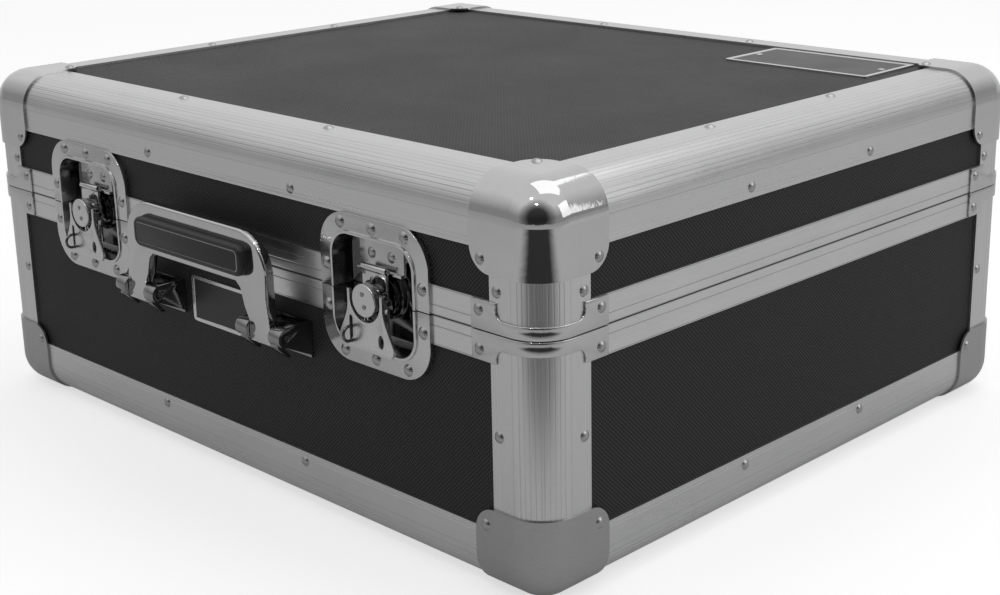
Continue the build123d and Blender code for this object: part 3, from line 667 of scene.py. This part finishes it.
def makePlate(name, node, body, facing, rim):
    plate = boxBetween(name, *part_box(node))
    editStart(plate)
    pickFaces(plate, lambda middle, normal: normal.dot(facing) > 0.99)
    bpy.ops.mesh.inset(thickness=rim * mm)
    bpy.ops.mesh.inset(thickness=plates["slope"] * mm)
    bpy.ops.transform.translate(value=facing * (-plates["sink"] * mm))
    paintPicked(plate, 1)
    pickEdges(plate, lambda middle, way: abs(way.dot(facing)) > 0.95)
    bpy.ops.mesh.bevel(offset=plates["corner"] * mm, segments=5, affect="EDGES")
    editEnd()
    settle(plate, [finishes["plateRim"], finishes["plateFace"]], body, 40)
    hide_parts(node)


makePlate("frontPlate", "front_blank_plate", "base", forward, plates["frontRim"])
makePlate("topPlate", "top_blank_plate", "lid", upward, plates["topRim"])
print("plates made")

# two small rivet heads on each latch disc, and two on the top plate
smallRivet = {
    # radius and rise of each kind, and how far it sits in
    "disc": (1.55, 0.7), "top": (2.6, 1.0), "hinge": (3.0, 1.2), "sink": 0.02, "topSink": 0.3,
    "discSpots": ((-0.6, 3.6), (0.8, -3.4)), "topInset": 7.5,
    "hingeX": 130, "leaf": 2.2, "hingeSpots": ((-22, 7), (0, 7), (22, 7), (-22, 20), (22, 20)),
}


def makeHead(name, centre, radius, rise, facing):
    # a low dome: a ball cut in half and pressed flat
    bpy.ops.object.select_all(action="DESELECT")
    bpy.ops.mesh.primitive_uv_sphere_add(segments=24, ring_count=12, radius=radius * mm)
    head = bpy.context.object
    head.name = name
    editStart(head)
    bpy.ops.mesh.select_all(action="SELECT")
    bpy.ops.mesh.bisect(plane_co=(0, 0, 0), plane_no=(0, 0, 1), clear_inner=True, use_fill=True)
    editEnd()
    head.scale = (1, 1, rise / radius)
    head.rotation_euler = facing.to_track_quat("Z", "Y").to_euler()
    head.location = centre
    bpy.ops.object.transform_apply(location=True, rotation=True, scale=True)
    return head


for side in ("left", "right"):
    low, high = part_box(f"{side}_latch_disc")
    middle = (low + high) / 2
    middle.y = low.y + smallRivet["sink"] * mm
    heads = [
        makeHead("discHead", middle + Vector((dx, 0, dz)) * mm, *smallRivet["disc"], forward)
        for dx, dz in smallRivet["discSpots"]
    ]
    settle(joinAll(f"{side}DiscRivets", heads), [finishes["bracket"]], f"{side}_drum", 50)
low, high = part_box("top_blank_plate")
inset = smallRivet["topInset"] * mm
heads = [
    makeHead(
        "plateHead", Vector((x, (low.y + high.y) / 2, high.z - smallRivet["topSink"] * mm)),
        *smallRivet["top"], upward)
    for x in (low.x + inset, high.x - inset)
]
settle(joinAll("topPlateRivets", heads), [finishes["rivet"]], "lid", 50)
leafBack = place(0, case["halfDepth"] + smallRivet["leaf"] - smallRivet["sink"], 0).y
for body, node, rise in (("base", "base_hinge_leaves", -1), ("lid", "lid_hinge_leaves", 1)):
    low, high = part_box(node)
    edge = low.z if rise < 0 else high.z
    heads = [
        makeHead(
            "hingeHead", Vector(((x + dx) * mm, leafBack, edge - rise * dz * mm)),
            *smallRivet["hinge"], backward)
        for x in (-smallRivet["hingeX"], smallRivet["hingeX"]) for dx, dz in smallRivet["hingeSpots"]
    ]
    settle(joinAll(f"{body}HingeRivets", heads), [finishes["rivet"]], body, 50)
print("small rivets made")

# floor, light and camera
studio = {
    "floor": 0.62, "floorSize": 24, "glow": 0.6, "mirrorGlow": 0.08, "worldLight": 0.62,
    # what polished metal shows: level at the sides, added behind and above, and darker ahead
    "sides": 0.4, "backdrop": 0.55, "sky": 0.7, "ahead": (0.62, -0.74, 0.25), "dim": 0.93,
    # name, place, target, size, power
    "lamps": [
        ("overheadSoft", (0.2, 0.5, 1.9), (0, 0, 0.1), 1.5, 6.0),
        ("rightSoft", (1.9, 0.9, 0.95), (0, 0, 0.1), 1.1, 4.0),
        ("sparkOne", (0.35, -1.0, 1.7), (0.25, -0.2, 0.2), 0.13, 1.3),
        ("sparkTwo", (0.9, -1.1, 1.5), (0.25, -0.2, 0.2), 0.08, 0.9),
    ],
}


def makeFloor():
    bpy.ops.object.select_all(action="DESELECT")
    bpy.ops.mesh.primitive_plane_add(size=studio["floorSize"], location=(0, 0, 0))
    floor = bpy.context.object
    floor.name = "studioFloor"
    finish = Finish("paleFloor")
    cloud = finish.noise(2.0, detail=2.0)
    finish.set(Base_Color=finish.tinted(studio["floor"] + (cloud - 0.5) * 0.02), Roughness=0.9)
    ray = finish.node("ShaderNodeLightPath")
    mirrored = finish.value(ray, "Is Glossy Ray") + finish.value(ray, "Is Transmission Ray")
    strength = finish.value(ray, "Is Camera Ray") * studio["glow"] + mirrored * studio["mirrorGlow"]
    glow = finish.node("ShaderNodeEmission", inputs={"Color": (1, 1, 1, 1), "Strength": strength})
    finish.surface(finish.node("ShaderNodeAddShader", inputs={0: finish.shader.outputs[0], 1: glow.outputs[0]}))
    floor.data.materials.append(finish.material)


flag = {
    "middle": (0.64, -0.62, 0.004), "size": (1.0, 0.74), "turn": 45,
    "tone": 0.02, "fade": 0.2,  # fade is the share of its length over which a border clears
}


def makeFlag():
    # a dark card on the floor in front of the near corner, which only the polished metal shows
    bpy.ops.object.select_all(action="DESELECT")
    turn = (0, 0, math.radians(flag["turn"]))
    bpy.ops.mesh.primitive_plane_add(size=1, location=flag["middle"], rotation=turn)
    card = bpy.context.object
    card.name = "darkCard"
    card.scale = (*flag["size"], 1)
    finish = Finish("cardFelt")
    cloud = finish.noise(8.0, detail=3.0)
    finish.set(Base_Color=finish.tinted(flag["tone"] * (0.7 + cloud * 0.6)), Roughness=0.95)
    # the card's own coordinates run from -0.5 to 0.5
    across, along = [((0.5 - part.size() * mm) / flag["fade"]).held() for part in finish.axes()[:2]]
    clear = finish.node("ShaderNodeBsdfTransparent").outputs[0]
    felt = finish.shader.outputs[0]
    finish.surface(finish.node("ShaderNodeMixShader", inputs={0: across * along, 1: clear, 2: felt}))
    card.data.materials.append(finish.material)
    card.visible_camera = False
    card.visible_diffuse = False
    card.visible_shadow = False


def makeWorld():
    world = bpy.data.worlds.new("studio")
    bpy.context.scene.world = world
    graph = Graph(world)
    way = graph.node("ShaderNodeTexCoord").outputs["Generated"]
    toward = Vector(studio["ahead"]).normalized()
    facing = graph.node("ShaderNodeVectorMath", {"operation": "DOT_PRODUCT"}, {0: way, 1: toward})
    ahead = graph.value(facing, "Value")
    up = graph.value(graph.node("ShaderNodeSeparateXYZ", inputs={0: way}), 2)
    dark = ((ahead - 0.62) / 0.3).held() * studio["dim"]
    backdrop = ((-ahead - 0.25) / 0.5).held() * studio["backdrop"]
    sky = ((up - 0.2) / 0.5).held() * studio["sky"]
    level = (studio["sides"] + backdrop + sky) * (1.0 - dark)
    ray = graph.node("ShaderNodeLightPath")
    glossy = graph.value(ray, "Is Glossy Ray")
    seen = (graph.value(ray, "Is Camera Ray") + graph.value(ray, "Is Transmission Ray")).held()
    strength = (seen + glossy * level + (1.0 - seen) * (1.0 - glossy) * studio["worldLight"]).held()
    glow = graph.node("ShaderNodeBackground", inputs={"Strength": strength})
    graph.node("ShaderNodeOutputWorld", inputs={"Surface": glow.outputs[0]})


def makeLamps():
    for name, spot, target, size, power in studio["lamps"]:
        data = bpy.data.lights.new(name, "AREA")
        data.shape = "DISK" if size < 0.3 else "SQUARE"
        data.size = size
        data.energy = power
        lamp = bpy.data.objects.new(name, data)
        bpy.context.collection.objects.link(lamp)
        lamp.location = spot
        lamp.rotation_euler = (Vector(target) - Vector(spot)).to_track_quat("-Z", "Y").to_euler()


camera = {
    "place": (0.79539, -0.77348, 0.41821), "turn": (73.8157, 1.0346, 44.5713),
    "lens": 59.64, "sensor": 36, "shift": (-0.01024, -0.04401),
}


def makeCamera():
    data = bpy.data.cameras.new("photoCamera")
    data.sensor_width = camera["sensor"]
    data.lens = camera["lens"]
    data.shift_x, data.shift_y = camera["shift"]
    holder = bpy.data.objects.new("photoCamera", data)
    bpy.context.collection.objects.link(holder)
    holder.location = camera["place"]
    holder.rotation_euler = [math.radians(a) for a in camera["turn"]]
    bpy.context.scene.camera = holder


makeFloor()
makeFlag()
makeWorld()
makeLamps()
makeCamera()
bpy.context.scene.view_settings.view_transform = "Standard"
print("studio ready")
